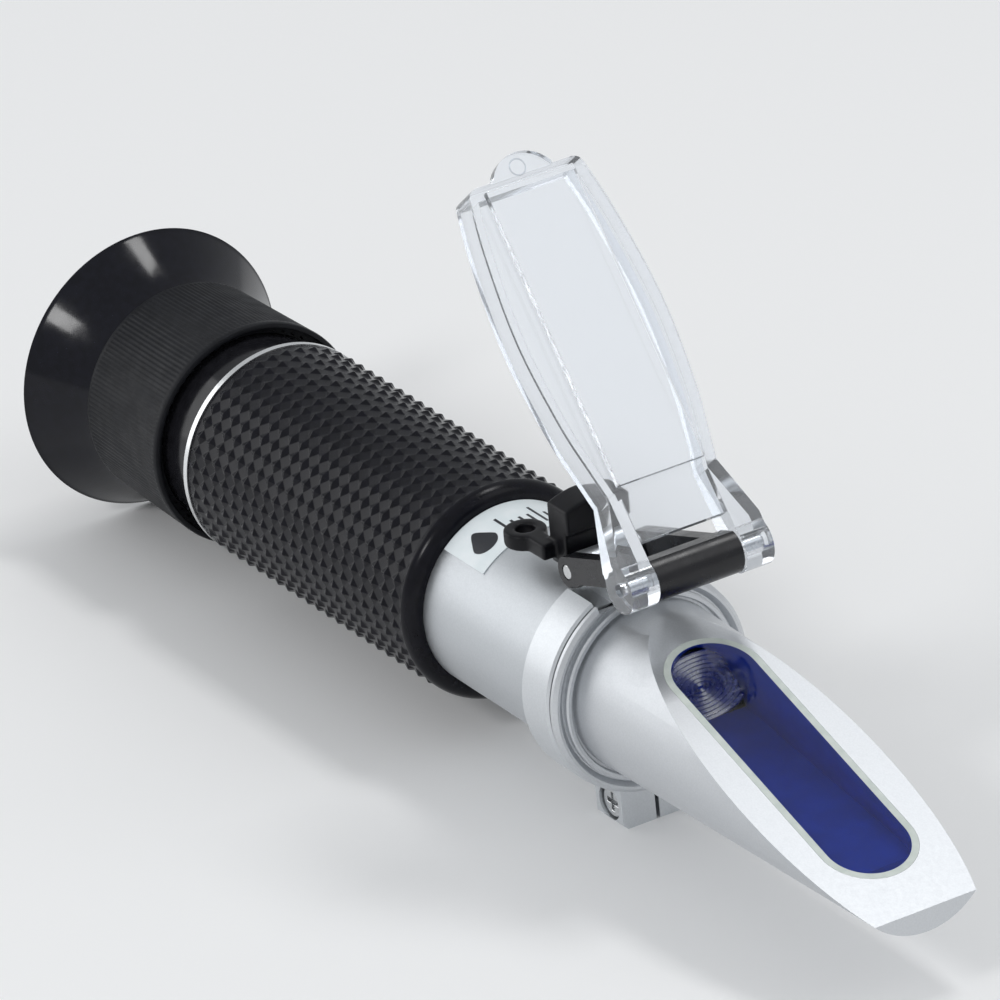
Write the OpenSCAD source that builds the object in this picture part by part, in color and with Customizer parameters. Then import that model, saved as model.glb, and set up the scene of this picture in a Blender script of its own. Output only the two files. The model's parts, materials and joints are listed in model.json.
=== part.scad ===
// Hand-held refractometer: eyepiece, gripped barrel, prism housing and hinged daylight plate.
// Lengths are in millimetres. The optical axis runs along +X, from the eyecup's rim to the prism's tip.

/* [Eyecup and focus ring] */
// Radius of the eyecup's rim, which the instrument rests on
cup_r = 18; // [17.8:0.1:19]
// Radius of the focus ring's grip surface at its rear edge
ring_rear_r = 13.85; // [13.7:0.05:14]
// Radius of the focus ring's grip surface at its front edge
ring_front_r = 14.3; // [14.2:0.05:14.6]
// Distance from the eyecup's rim to the focus ring's rear edge
ring_start = 8.4; // [8:0.1:9]
// Distance from the eyecup's rim to the focus ring's front edge
ring_end = 26; // [25:0.1:27]
// Radius of the fixed tube that the focus ring screws along
helicoid_r = 12.5; // [12.3:0.1:12.6]
// Running clearance between turning or sliding cylinders
running_gap = 0.05; // [0.02:0.01:0.08]

/* [Barrel] */
// Overall length from the eyecup's rim to the prism's tip
overall_len = 172; // [170:0.5:175]
// Outer radius of the metal barrel
tube_r = 11.7; // [11.6:0.05:11.8]
// Wall thickness of the metal barrel
tube_wall = 1.4; // [1.3:0.05:1.45]
// Distance from the eyecup's rim to the barrel's rear end
tube_start = 31.8; // [31:0.1:33]
// Width of the bright ring behind the grip
trim_w = 0.8; // [0.6:0.1:1.2]
// Distance from the eyecup's rim to the grip's front end
grip_end = 84; // [82:0.5:84]
// Outer radius of the rubber grip
grip_r = 13.95; // [13.6:0.05:14.2]

/* [Clamp ring] */
// Distance from the eyecup's rim to the clamp ring's rear face
clamp_start = 108.6; // [108.2:0.1:109]
// Length of the clamp ring along the barrel
clamp_len = 5.8; // [5.6:0.1:5.8]
// Outer radius of the clamp ring
clamp_r = 13.55; // [13.4:0.05:13.7]
// Width of the slit through the clamp lug
slit_w = 0.5; // [0.4:0.1:0.8]
// Half the width of the clamp lug under the barrel
lug_half_w = 4.8; // [4.5:0.1:5.2]

/* [Prism housing] */
// Radius of the tapered housing at its neck
neck_r = 10.7; // [10.5:0.05:10.8]
// Radius of the tapered housing at its tip
tip_r = 9.6; // [9.5:0.05:9.9]
// Slope of the measuring face, in degrees below the optical axis
face_tilt = 18.5; // [18.3:0.1:18.7]
// Height of the measuring face at the tip, relative to the optical axis
tip_face_z = -6.7; // [-6.8:0.05:-6.6]
// Distance along the measuring face from the tip to the prism's centre
window_centre = 28; // [27.5:0.1:28.5]
// Half the straight length of the round-ended prism
window_half_len = 15.7; // [15:0.1:16]
// Half the width of the prism
window_half_w = 5.2; // [5:0.05:5.3]
// Width of the sealing bead round the prism
seal_w = 0.9; // [0.7:0.05:1]

/* [Bracket and daylight plate] */
// Distance from the eyecup's rim to the bracket's pivot
pivot_x = 108.5; // [108.4:0.05:108.6]
// Height of the bracket's pivot above the optical axis
pivot_z = 13.9; // [13.85:0.05:14]
// Distance from the bracket's pivot to the plate's hinge
bracket_len = 19.4; // [19.2:0.1:19.6]
// Slope of the bracket as stored, in degrees above the optical axis
bracket_angle = 17.7; // [10:0.1:24]
// Direction of the plate as stored, in degrees from the forward axis
plate_angle = 129.6; // [100:0.1:138]
// Length of the plate from its hinge to its straight end
plate_len = 49.3; // [48:0.1:50]
// Thickness of the clear plate
plate_t = 1.5; // [1.2:0.1:1.8]
// Depth of the plate's side walls, from its inner face
plate_wall_h = 4.6; // [4:0.1:5]

/* [Hidden] */
$fn = 96;

// Fits and small allowances
cut = 1;              // how far a cutting shape runs past what it cuts
seat_gap = 0.02;      // clearance of a fixed piece in its seat
edge = 0.3;           // usual bevel on turned edges

// Barrel
axis_h = cup_r;
tube_bore_r = tube_r - tube_wall;
clamp_end = clamp_start + clamp_len;
gasket_t = 0.4;
gasket_r = 12;
housing_start = clamp_end + gasket_t;

// Eyepiece, drawn at the middle of its travel
helicoid_start = 17;
helicoid_bore_r = 10.6;
helicoid_spigot_len = 6;
cell_r = helicoid_bore_r - running_gap;
cell_start = 12.3;
cell_end = 29;
cell_flange_r = 12.2;
cell_flange_t = 1.2;
cell_bore_r = 9.4;
cell_lip_r = 8.4;
lens_r = cell_bore_r - seat_gap;
cup_neck_r = 11;
cup_neck_end = 12;
cup_neck_bore_r = 9.6;
cup_root_r = 13.2;
cup_wall = 0.9;
cup_curve = 1.2;
ring_wall = 0.7;
ring_recess = 1.5;
eye_lens_start = 13.6;
eye_lens_t = 4;
field_lens_start = 21;
field_lens_t = 3.5;
lens_edge_t = 1.6;
lens_steps = 12;
lock_ring_t = 1.4;

// Scale and objective inside the barrel
reticle_start = 44;
reticle_holder_len = 6;
reticle_bore_r = 8.2;
reticle_seat_r = 9.3;
reticle_t = 1.2;
reticle_lip_t = 2;
objective_start = 96;
objective_len = 9.6;
objective_r = 9.85;
objective_bore_r = 8.4;
objective_lip_r = 7.4;
objective_lip_t = 1;
objective_lens_t = 4.2;
objective_lens_r = objective_bore_r - seat_gap;
strip_start = 66;
strip_len = 32;
strip_w = 5;
strip_t = 0.5;
strip_z = -8.9;
strip_slot_w = 6;
strip_slot_len = 3;
mount_len = 5;
bimetal_screw_r = 0.8;
bimetal_head_r = 1.4;
bimetal_head_t = 0.8;
bimetal_screw_depth = 1;

// Calibration screw, its bush and its cap
screw_x = 104.2;
screw_r = 1.25;
bush_r = 2.1;
bush_bottom = 10.3;
bush_top = 14.4;
screw_bottom = 10;
screw_top = 13.5;
screw_slot_w = 0.4;
screw_slot_depth = 0.6;
cell_flat_z = 9.6;
cap_head_z = 17.3;
cap_head_h = 4;
cap_head_len = 4.4;
cap_head_half_w = 4.25;
cap_head_x = 104.8;
cap_dome_r = 10;
cap_roof_gap = 0.2;
cap_block_z = 12.8;
cap_block_len = 3.7;
cap_strap_w = 2.4;
cap_strap_root = 1.5;
cap_loop_x = 98.3;
cap_loop_y = -4.9;
cap_loop_z = 13.7;
cap_loop_t = 2;
cap_loop_r = 2.6;
cap_loop_hole_r = 1.15;

// Clamp ring and its lug
lug_front_gap = 0.1;
lug_chamfer = 0.6;
lug_root = 2;
clamp_screw_x = clamp_start + clamp_len / 2;
clamp_screw_z = -15.4;
clamp_screw_r = 1.25;
clamp_head_r = 1.9;
clamp_head_t = 1.8;
clamp_cross_w = 0.6;
clamp_cross_len = 2.4;
clamp_cross_depth = 0.9;
clamp_counterbore_r = 2.2;
clamp_counterbore_depth = 2.2;
pivot_lug_half_w = 3.7;
pivot_lug_r = 1.9;
pivot_lug_base_z = 11;
pivot_pin_r = 0.9;

// Bracket
ear_inner_y = 3.9;
ear_outer_y = 5.75;
ear_half_h = 1.9;
ear_under = 1.45;
ear_relief_x = 2.6;
web_start = 17.2;
barrel_r = 2.7;
barrel_flat = 2.35;
hinge_pin_r = 0.8;
hinge_pin_half_len = 9.2;
ear_slot_gap = 0.3;
ear_slot_floor_clamp = 11.5;
ear_slot_floor_housing = 11.3;

// Daylight plate, in its own frame: +X away from the hinge, +Z on its outer side
knuckle_r = 2.9;
knuckle_inner_y = 5.95;
knuckle_outer_y = 9.7;
inner_face_z = -2.6;
pad_h = 0.9;
pad_start = 10.9;
pad_end = 48.3;
pad_half_w = 5.9;
plate_start = 4;
plate_wall = 1.4;
plate_corner_r = 1.2;
plate_end_half_w = 7.75;
tab_end = 51.9;
tab_r = 4.5;
tab_t = 1.3;
plate_waist = [9.5, 7.3];
plate_side = [[5, 6.6], plate_waist, [14, 8.15], [20, 9.15], [30.5, 9.8], [41.6, 8.9], [plate_len, 7.5],
    [plate_len + 7, 6]];
side_steps = 5;

// Prism and housing
backing_t = 0.35;
seal_depth = 0.6;
prism_floor_z = -6.9;
prism_rear_x = 125.4;
light_bore_r = 7.3;
light_bore_end = 126.5;
spigot_len = 7.3;
face_start = housing_start + 1.7;
flange_r = clamp_r - edge / 2;
flange_t = 0.5;
// Turned steps between the flange and the neck, as [radius, distance ahead of the flange's rear face]
face_steps = [[12.6, 0.9], [12, 0.3], [11.8, 0.3], [11.8, 1], [11.6, 1.2], [11.2, 1.2], [11.05, 1.05],
    [11.05, 0.6]];
baffle_end = housing_start + 6;
baffle_start = housing_start - spigot_len;
baffle_tooth = 0.8;
baffle_depth = 0.7;
baffle_crest_r = 5.9;
label_start = grip_end + 0.2;
label_len = 8.7;
label_t = 0.12;
label_half_angle = 43;

// Places its children in the row frame: X counts from the eyecup's rim and Z from the optical axis
module on_axis() translate([-overall_len / 2, 0, axis_h]) children();

// Turns a profile of [radius, distance along the axis] points about the optical axis
module turned(profile) on_axis() rotate([0, 90, 0]) rotate_extrude() polygon(profile);

// A plain ring about the optical axis
module ring(x0, x1, r_out, r_in) turned([[r_in, x0], [r_out, x0], [r_out, x1], [r_in, x1]]);

// A rod along Y, centred on the plane of symmetry
module cross_rod(x, z, r, half_len) translate([x, 0, z]) rotate([90, 0, 0])
    cylinder(h = 2 * half_len, r = r, center = true);

// Puts its children on the measuring face: +X runs down to the tip, +Z is the outward normal
module on_face() translate([overall_len, 0, tip_face_z]) rotate([0, face_tilt, 0]) children();

// Puts its children at the bracket's pivot, with +X towards the plate's hinge
module on_bracket() on_axis() translate([pivot_x, 0, pivot_z]) rotate([0, -bracket_angle, 0]) children();

// Puts its children at the plate's hinge, with +X along the plate
module on_plate() on_axis()
    translate([pivot_x + bracket_len * cos(bracket_angle), 0, pivot_z + bracket_len * sin(bracket_angle)])
    rotate([0, -plate_angle, 0]) children();

// Round-ended outline, long along X
module stadium(half_len, half_w) {
    square([2 * half_len, 2 * half_w], center = true);
    translate([-half_len, 0]) circle(r = half_w);
    translate([half_len, 0]) circle(r = half_w);
}

// How far a lens of radius r and thickness t falls back from its crown at radius at_r
function lens_drop(r, t, at_r) = (t - lens_edge_t) / 2 * pow(at_r / r, 2);

// Profile of a lens with two curved faces, as [radius, x] points
function lens_profile(x0, r, t) = concat(
    [for (i = [0:lens_steps]) let (at_r = r * i / lens_steps) [at_r, x0 + lens_drop(r, t, at_r)]],
    [for (i = [lens_steps:-1:0]) let (at_r = r * i / lens_steps) [at_r, x0 + t - lens_drop(r, t, at_r)]]);

// ---- Eyepiece ----

function cup_outer(x) = cup_root_r + (cup_r - cup_root_r) * pow(1 - x / ring_start, cup_curve);
cup_steps = 8;

module eyecup() color("#15161a") turned(concat(
    [for (i = [0:cup_steps]) [cup_outer(ring_start * i / cup_steps), ring_start * i / cup_steps]],
    [[cup_neck_r, ring_start], [cup_neck_r, cup_neck_end], [cup_neck_bore_r, cup_neck_end]],
    [[cup_neck_bore_r, ring_start + cup_wall]],
    [for (i = [cup_steps - 1:-1:0]) let (x = ring_start * i / cup_steps) [cup_outer(x) - cup_wall, x]]));

module focus_ring() color("#26262a") turned([
    [cup_neck_r + seat_gap, ring_start], [ring_rear_r - edge, ring_start], [ring_rear_r, ring_start + edge],
    [ring_front_r, ring_end - edge], [ring_front_r - edge, ring_end],
    [ring_front_r - ring_wall, ring_end], [ring_front_r - ring_wall, ring_end - ring_recess],
    [helicoid_r + running_gap, ring_end - ring_recess], [helicoid_r + running_gap, cup_neck_end],
    [cup_neck_r + seat_gap, cup_neck_end]]);

module eyepiece_cell() color("#303034") turned([
    [cell_lip_r, cell_start], [cell_flange_r, cell_start], [cell_flange_r, cell_start + cell_flange_t],
    [cell_r, cell_start + cell_flange_t], [cell_r, cell_end], [cell_bore_r, cell_end],
    [cell_bore_r, eye_lens_start], [cell_lip_r, eye_lens_start]]);

module eye_lens() color("#cfe3ea", 0.5)
    turned(lens_profile(eye_lens_start, lens_r, eye_lens_t));

module lens_spacer() color("#303034")
    ring(eye_lens_start + eye_lens_t - lens_drop(lens_r, eye_lens_t, cell_lip_r) + seat_gap,
        field_lens_start + lens_drop(lens_r, field_lens_t, cell_lip_r) - seat_gap, lens_r, cell_lip_r);

module field_lens() color("#cfe3ea", 0.5)
    turned(lens_profile(field_lens_start, lens_r, field_lens_t));

module eyepiece_lock_ring() color("#303034") {
    start = field_lens_start + field_lens_t - lens_drop(lens_r, field_lens_t, cell_lip_r) + seat_gap;
    ring(start, start + lock_ring_t, lens_r, cell_lip_r);
}

// ---- Barrel ----

module helicoid_tube() color("#1b1b1f") turned([
    [helicoid_bore_r, helicoid_start], [helicoid_r - edge, helicoid_start],
    [helicoid_r, helicoid_start + edge],
    [helicoid_r, tube_start], [tube_bore_r - seat_gap, tube_start],
    [tube_bore_r - seat_gap, tube_start + helicoid_spigot_len],
    [reticle_seat_r, tube_start + helicoid_spigot_len], [reticle_seat_r, tube_start],
    [helicoid_bore_r, tube_start]]);

module main_tube() color("#c9ccd0") difference() {
    ring(tube_start, clamp_end, tube_r, tube_bore_r);
    on_axis() translate([screw_x, 0, 0]) cylinder(h = tube_r + cut, r = bush_r + seat_gap);
}

module rear_trim_ring() color("#e4e6e8")
    ring(tube_start, tube_start + trim_w, grip_r - edge / 2, tube_r + seat_gap);

module grip_sleeve() color("#1d1d20") {
    start = tube_start + trim_w;
    round_r = grip_r - tube_r - edge;
    turned(concat([[tube_r + seat_gap, start], [grip_r, start]],
        [for (a = [0:15:90])
            [grip_r - round_r * (1 - cos(a)), grip_end - round_r * (1 - sin(a))]],
        [[tube_r + seat_gap, grip_end]]));
}

module body_label() color("#eef1f2") on_axis() rotate([0, 90, 0])
    rotate([0, 0, 180 - label_half_angle]) rotate_extrude(angle = 2 * label_half_angle)
    translate([tube_r + seat_gap, label_start]) square([label_t, label_len]);

module reticle_holder() color("#303034") turned([
    [reticle_bore_r, reticle_start], [tube_bore_r - seat_gap, reticle_start],
    [tube_bore_r - seat_gap, reticle_start + reticle_holder_len],
    [reticle_seat_r, reticle_start + reticle_holder_len], [reticle_seat_r, reticle_start + reticle_lip_t],
    [reticle_bore_r, reticle_start + reticle_lip_t]]);

module reticle_disc() color("#dfeaf0", 0.6)
    ring(reticle_start + reticle_lip_t, reticle_start + reticle_lip_t + reticle_t,
        reticle_seat_r - seat_gap, 0);

module reticle_lock_ring() color("#303034") {
    start = reticle_start + reticle_lip_t + reticle_t + seat_gap;
    ring(start, start + lock_ring_t, reticle_seat_r - seat_gap, reticle_bore_r);
}

// ---- Temperature compensation ----

strip_top_z = strip_z + strip_t;
bimetal_screw_x = strip_start + mount_len / 2;

module bimetal_mount() color("#b5923f") on_axis() difference() {
    intersection() {
        translate([strip_start, -strip_w / 2, -tube_bore_r])
            cube([mount_len, strip_w, tube_bore_r + strip_z]);
        rotate([0, 90, 0]) cylinder(h = overall_len, r = tube_bore_r - seat_gap);
    }
    translate([bimetal_screw_x, 0, -tube_r]) cylinder(h = tube_r, r = bimetal_screw_r);
}

module bimetal_strip() color("#a7886a") on_axis() difference() {
    translate([strip_start, -strip_w / 2, strip_z]) cube([strip_len, strip_w, strip_t]);
    translate([bimetal_screw_x, 0, -tube_r]) cylinder(h = tube_r, r = bimetal_screw_r);
}

module bimetal_screw() color("#bfc2c6") on_axis() translate([bimetal_screw_x, 0, 0]) {
    translate([0, 0, strip_z - bimetal_screw_depth])
        cylinder(h = bimetal_screw_depth + strip_t, r = bimetal_screw_r);
    translate([0, 0, strip_top_z]) cylinder(h = bimetal_head_t, r = bimetal_head_r);
}

// ---- Objective ----

module objective_cell() color("#303034") difference() {
    turned([[objective_lip_r, objective_start], [objective_r, objective_start],
        [objective_r, objective_start + objective_len], [objective_bore_r, objective_start + objective_len],
        [objective_bore_r, objective_start + objective_lip_t],
        [objective_lip_r, objective_start + objective_lip_t]]);
    on_axis() translate([0, -tube_r, cell_flat_z]) cube([overall_len, 2 * tube_r, tube_r]);
    on_axis() translate([objective_start - cut, -strip_slot_w / 2, -tube_r])
        cube([strip_slot_len + cut, strip_slot_w, tube_r + strip_top_z + edge]);
}

module objective_lens() color("#cfe3ea", 0.5)
    turned(lens_profile(objective_start + objective_lip_t, objective_lens_r, objective_lens_t));

module objective_lock_ring() color("#303034") {
    drop = lens_drop(objective_lens_r, objective_lens_t, objective_lip_r);
    start = objective_start + objective_lip_t + objective_lens_t - drop + seat_gap;
    ring(start, start + lock_ring_t, objective_lens_r, objective_lip_r);
}

// ---- Calibration screw ----

module calibration_bush() color("#c9ccd0") on_axis() translate([screw_x, 0, bush_bottom]) difference() {
    cylinder(h = bush_top - bush_bottom, r = bush_r);
    translate([0, 0, -cut]) cylinder(h = bush_top - bush_bottom + 2 * cut, r = screw_r + running_gap);
}

module calibration_screw() color("#bfc2c6") on_axis() difference() {
    translate([screw_x, 0, screw_bottom]) cylinder(h = screw_top - screw_bottom, r = screw_r);
    translate([screw_x - screw_r - cut, -screw_slot_w / 2, screw_top - screw_slot_depth])
        cube([2 * (screw_r + cut), screw_slot_w, screw_slot_depth + cut]);
}

// The block to hold the cap by, domed from side to side, with the cup that pushes over the bush
module cap_block() difference() {
    union() {
        intersection() {
            translate([cap_head_x - cap_head_len / 2, -cap_head_half_w, cap_head_z])
                cube([cap_head_len, 2 * cap_head_half_w, cap_head_h]);
            translate([cap_head_x, 0, cap_head_z + cap_head_h - cap_dome_r]) rotate([0, 90, 0])
                cylinder(h = cap_head_len + cut, r = cap_dome_r, center = true);
        }
        translate([cap_head_x - cap_head_len / 2, -cap_head_half_w, cap_block_z])
            cube([cap_block_len, 2 * cap_head_half_w, cap_head_z - cap_block_z]);
    }
    translate([screw_x, 0, cap_block_z - cut])
        cylinder(h = bush_top - cap_block_z + cut + cap_roof_gap, r = bush_r + running_gap);
}

// The loop behind the cap and the strap that joins it to the block
module cap_loop() difference() {
    union() {
        translate([cap_loop_x, cap_loop_y, cap_loop_z]) cylinder(h = cap_loop_t, r = cap_loop_r);
        translate([cap_loop_x, cap_loop_y - cap_strap_w / 2, cap_loop_z])
            cube([cap_head_x - cap_head_len / 2 - cap_loop_x + cap_strap_root, cap_strap_w, cap_loop_t]);
    }
    translate([cap_loop_x, cap_loop_y, cap_loop_z - cut])
        cylinder(h = cap_loop_t + 2 * cut, r = cap_loop_hole_r);
}

module screw_cap() color("#131316") on_axis() {
    cap_block();
    cap_loop();
}

// ---- Clamp ring ----

// Slots that the bracket's ears drop into as the plate closes
ear_slot_w = ear_outer_y - ear_inner_y + 2 * ear_slot_gap;
module ear_slots(x0, x1, floor_z) for (side = [-1, 1])
    translate([x0, side * (ear_inner_y + ear_outer_y) / 2 - ear_slot_w / 2, floor_z])
        cube([x1 - x0, ear_slot_w, clamp_r]);

// The lug below the barrel that the clamp screw pulls together
module clamp_lug() translate([clamp_start, 0, -cup_r]) rotate([90, 0, 90])
    linear_extrude(clamp_len - lug_front_gap) polygon([
        [lug_chamfer - lug_half_w, 0], [lug_half_w - lug_chamfer, 0], [lug_half_w, lug_chamfer],
        [lug_half_w, cup_r - tube_r], [-lug_half_w, cup_r - tube_r], [-lug_half_w, lug_chamfer]]);

// The lug on top that carries the bracket's pivot pin
module pivot_lug() {
    cross_rod(pivot_x, pivot_z, pivot_lug_r, pivot_lug_half_w);
    translate([pivot_x - pivot_lug_r, -pivot_lug_half_w, pivot_lug_base_z])
        cube([clamp_start + lug_root - pivot_x + pivot_lug_r, 2 * pivot_lug_half_w,
            pivot_z - pivot_lug_base_z]);
}

module clamp_ring() color("#c2c6ca") on_axis() difference() {
    union() {
        rotate([0, 90, 0]) rotate_extrude() polygon([
            [tube_r + seat_gap, clamp_start], [clamp_r - edge, clamp_start], [clamp_r, clamp_start + edge],
            [clamp_r, clamp_end - edge], [clamp_r - edge, clamp_end], [tube_r + seat_gap, clamp_end]]);
        difference() {
            union() {
                clamp_lug();
                pivot_lug();
            }
            rotate([0, 90, 0]) cylinder(h = overall_len, r = tube_r + seat_gap);
        }
    }
    translate([clamp_start - cut, -slit_w / 2, -cup_r - cut]) cube([clamp_len + 2 * cut, slit_w, cup_r]);
    ear_slots(clamp_start - cut, clamp_end + cut, ear_slot_floor_clamp);
    cross_rod(pivot_x, pivot_z, pivot_pin_r, pivot_lug_half_w + cut);
    cross_rod(clamp_screw_x, clamp_screw_z, clamp_screw_r + seat_gap, lug_half_w + cut);
    translate([clamp_screw_x, -lug_half_w - cut, clamp_screw_z]) rotate([-90, 0, 0])
        cylinder(h = clamp_counterbore_depth + cut, r = clamp_counterbore_r);
}

module clamp_screw() color("#d5d7da") on_axis()
    translate([clamp_screw_x, -lug_half_w + clamp_counterbore_depth, clamp_screw_z]) difference() {
        union() {
            rotate([-90, 0, 0])
                cylinder(h = 2 * lug_half_w - clamp_counterbore_depth - edge, r = clamp_screw_r);
            rotate([90, 0, 0]) cylinder(h = clamp_head_t, r = clamp_head_r);
        }
        for (a = [0, 90]) rotate([0, a, 0])
            translate([-clamp_cross_len / 2, -clamp_head_t - cut, -clamp_cross_w / 2])
                cube([clamp_cross_len, clamp_cross_depth + cut, clamp_cross_w]);
    }

module pivot_pin() color("#d5d7da") on_axis() cross_rod(pivot_x, pivot_z, pivot_pin_r, ear_outer_y);

// ---- Bracket and daylight plate ----

module hinge_bracket() color("#17171a") on_bracket() difference() {
    union() {
        for (side = [-1, 1]) translate([0, side * (ear_inner_y + ear_outer_y) / 2, 0]) rotate([90, 0, 0])
            linear_extrude(ear_outer_y - ear_inner_y, center = true) {
                circle(r = ear_half_h);
                polygon([[0, -ear_half_h], [ear_relief_x / 2, -ear_half_h], [ear_relief_x, -ear_under],
                    [bracket_len, -ear_under], [bracket_len, ear_half_h], [0, ear_half_h]]);
            }
        cross_rod(bracket_len, 0, barrel_r, ear_outer_y);
        translate([web_start, -ear_outer_y, -ear_under])
            cube([bracket_len - web_start, 2 * ear_outer_y, ear_under + ear_half_h]);
    }
    cross_rod(0, 0, pivot_pin_r + running_gap, ear_outer_y + cut);
    cross_rod(bracket_len, 0, hinge_pin_r, ear_outer_y + cut);
    translate([bracket_len - 2 * barrel_r, -ear_outer_y - cut, barrel_flat])
        cube([4 * barrel_r, 2 * (ear_outer_y + cut), barrel_r]);
}

module hinge_pin() color("#d5d7da") on_bracket() cross_rod(bracket_len, 0, hinge_pin_r, hinge_pin_half_len);

// Smooth curve through the points of a list, at fraction t of the stretch from point i to the next
function smooth(p, i, t) = 0.5 * (2 * p[i] + (p[i + 1] - p[i - 1]) * t
    + (2 * p[i - 1] - 5 * p[i] + 4 * p[i + 1] - p[i + 2]) * t * t
    + (3 * p[i] - p[i - 1] - 3 * p[i + 1] + p[i + 2]) * t * t * t);
side_curve = concat(
    [for (i = [1:len(plate_side) - 3]) for (k = [0:side_steps - 1]) smooth(plate_side, i, k / side_steps)],
    [for (a = [0:22.5:90]) [plate_len - plate_corner_r * (1 - sin(a)),
        plate_end_half_w - plate_corner_r * (1 - cos(a))]]);
function plate_outline(inset) = concat([for (p = side_curve) [p[0], p[1] - inset]],
    [for (i = [len(side_curve) - 1:-1:0]) [side_curve[i][0], inset - side_curve[i][1]]]);

// The plate with its side and end walls, open towards the hinge
module plate_tray() difference() {
    linear_extrude(plate_wall_h) polygon(plate_outline(0));
    translate([0, 0, plate_t]) linear_extrude(plate_wall_h) {
        intersection() {
            polygon(plate_outline(plate_wall));
            translate([0, -knuckle_outer_y]) square([plate_len - plate_wall, 2 * knuckle_outer_y]);
        }
        translate([plate_waist[0] - cut, plate_wall - plate_waist[1]])
            square([2 * cut, 2 * (plate_waist[1] - plate_wall)]);
    }
}

// One knuckle and the arm that joins it to the plate, on the +Y side
module plate_knuckle() {
    translate([0, (knuckle_inner_y + knuckle_outer_y) / 2, 0]) rotate([90, 0, 0])
        cylinder(h = knuckle_outer_y - knuckle_inner_y, r = knuckle_r, center = true);
    translate([0, 0, inner_face_z]) linear_extrude(plate_wall_h) polygon([
        [0, knuckle_inner_y], [0, knuckle_outer_y], [knuckle_r, knuckle_outer_y],
        [plate_waist[0] + cut, plate_waist[1]], [plate_waist[0] + cut, knuckle_inner_y]]);
}

module daylight_plate() color("#e3ecf4", 0.35) on_plate() difference() {
    union() {
        translate([0, 0, inner_face_z]) plate_tray();
        translate([plate_start, -plate_waist[1] + plate_wall, inner_face_z])
            cube([plate_waist[0] - plate_start + cut, 2 * (plate_waist[1] - plate_wall), plate_t]);
        translate([pad_start, -pad_half_w, inner_face_z - pad_h])
            cube([pad_end - pad_start, 2 * pad_half_w, pad_h + plate_t / 2]);
        plate_knuckle();
        mirror([0, 1, 0]) plate_knuckle();
        translate([tab_end - tab_r, 0, inner_face_z]) cylinder(h = tab_t, r = tab_r);
    }
    cross_rod(0, 0, hinge_pin_r + running_gap, knuckle_outer_y + cut);
}

// ---- Prism housing ----

module housing_gasket() color("#101012")
    ring(clamp_end, housing_start, gasket_r, tube_bore_r);

// Everything above the measuring face, ahead of the housing's flange
module above_face() intersection() {
    on_face() translate([-2 * overall_len, -tube_r - cut, 0])
        cube([3 * overall_len, 2 * (tube_r + cut), overall_len]);
    translate([face_start, -tube_r - cut, -tube_r])
        cube([overall_len, 2 * (tube_r + cut), overall_len]);
}

// The prism's shape widened by grow all round and under it, cut off upright where it faces the barrel
module prism_shape(grow) intersection() {
    on_face() translate([-window_centre, 0, -overall_len / 4]) linear_extrude(overall_len / 4)
        stadium(window_half_len, window_half_w + grow);
    translate([prism_rear_x, -tube_r, prism_floor_z - grow]) cube([overall_len, 2 * tube_r, overall_len]);
}

module face_groove(half_w, depth) on_face() translate([-window_centre, 0, -depth])
    linear_extrude(depth + cut) stadium(window_half_len, half_w);

module prism_housing() color("#c6cace") on_axis() difference() {
    rotate([0, 90, 0]) rotate_extrude() polygon(concat(
        [[0, housing_start - spigot_len], [tube_bore_r - seat_gap, housing_start - spigot_len]],
        [[tube_bore_r - seat_gap, housing_start], [flange_r, housing_start]],
        [[flange_r, housing_start + flange_t], [clamp_r - 2 * edge, housing_start + face_steps[0][1]]],
        [for (step = face_steps) [step[0], housing_start + step[1]]],
        [[neck_r, housing_start + face_steps[len(face_steps) - 1][1]]],
        [[tip_r, overall_len], [0, overall_len]]));
    rotate([0, 90, 0]) cylinder(h = light_bore_end, r = light_bore_r);
    above_face();
    prism_shape(backing_t);
    face_groove(window_half_w + seal_w, seal_depth);
    ear_slots(housing_start - cut, face_start + cut, ear_slot_floor_housing);
}

module light_baffle() color("#1a1a1d") turned(concat(
    [[light_bore_r - seat_gap, baffle_start], [light_bore_r - seat_gap, baffle_end]],
    [for (x = [baffle_end:-baffle_tooth:baffle_start + baffle_tooth]) each
        [[baffle_crest_r, x], [baffle_crest_r + baffle_depth, x - baffle_tooth / 2]]],
    [[baffle_crest_r, baffle_start]]));

module prism() color("#9fb4e0", 0.5) on_axis() prism_shape(0);

module prism_backing() color("#20306f") on_axis() difference() {
    prism_shape(backing_t - seat_gap);
    prism_shape(seat_gap);
    face_groove(window_half_w + seal_w, seal_depth + seat_gap);
}

module prism_seal() color("#b9c4bd") on_axis() on_face() translate([-window_centre, 0, -seal_depth])
    linear_extrude(seal_depth) difference() {
        stadium(window_half_len, window_half_w + seal_w - seat_gap);
        stadium(window_half_len, window_half_w + seat_gap);
    }

eyecup();
focus_ring();
eyepiece_cell();
eye_lens();
lens_spacer();
field_lens();
eyepiece_lock_ring();
helicoid_tube();
main_tube();
rear_trim_ring();
grip_sleeve();
body_label();
reticle_holder();
reticle_disc();
reticle_lock_ring();
bimetal_mount();
bimetal_strip();
bimetal_screw();
objective_cell();
objective_lens();
objective_lock_ring();
calibration_bush();
calibration_screw();
screw_cap();
clamp_ring();
clamp_screw();
pivot_pin();
hinge_bracket();
hinge_pin();
daylight_plate();
housing_gasket();
prism_housing();
light_baffle();
prism();
prism_backing();
prism_seal();
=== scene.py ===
"""Looks of the hand-held refractometer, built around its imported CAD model.

Sizes are in millimetres until a piece is made, and the pieces are in metres in the row frame.
Distances along the barrel count from the eyecup's rim, as in the part's source.
"""

import json
import math

import bmesh
import bpy
from mathutils import Matrix, Vector


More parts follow.
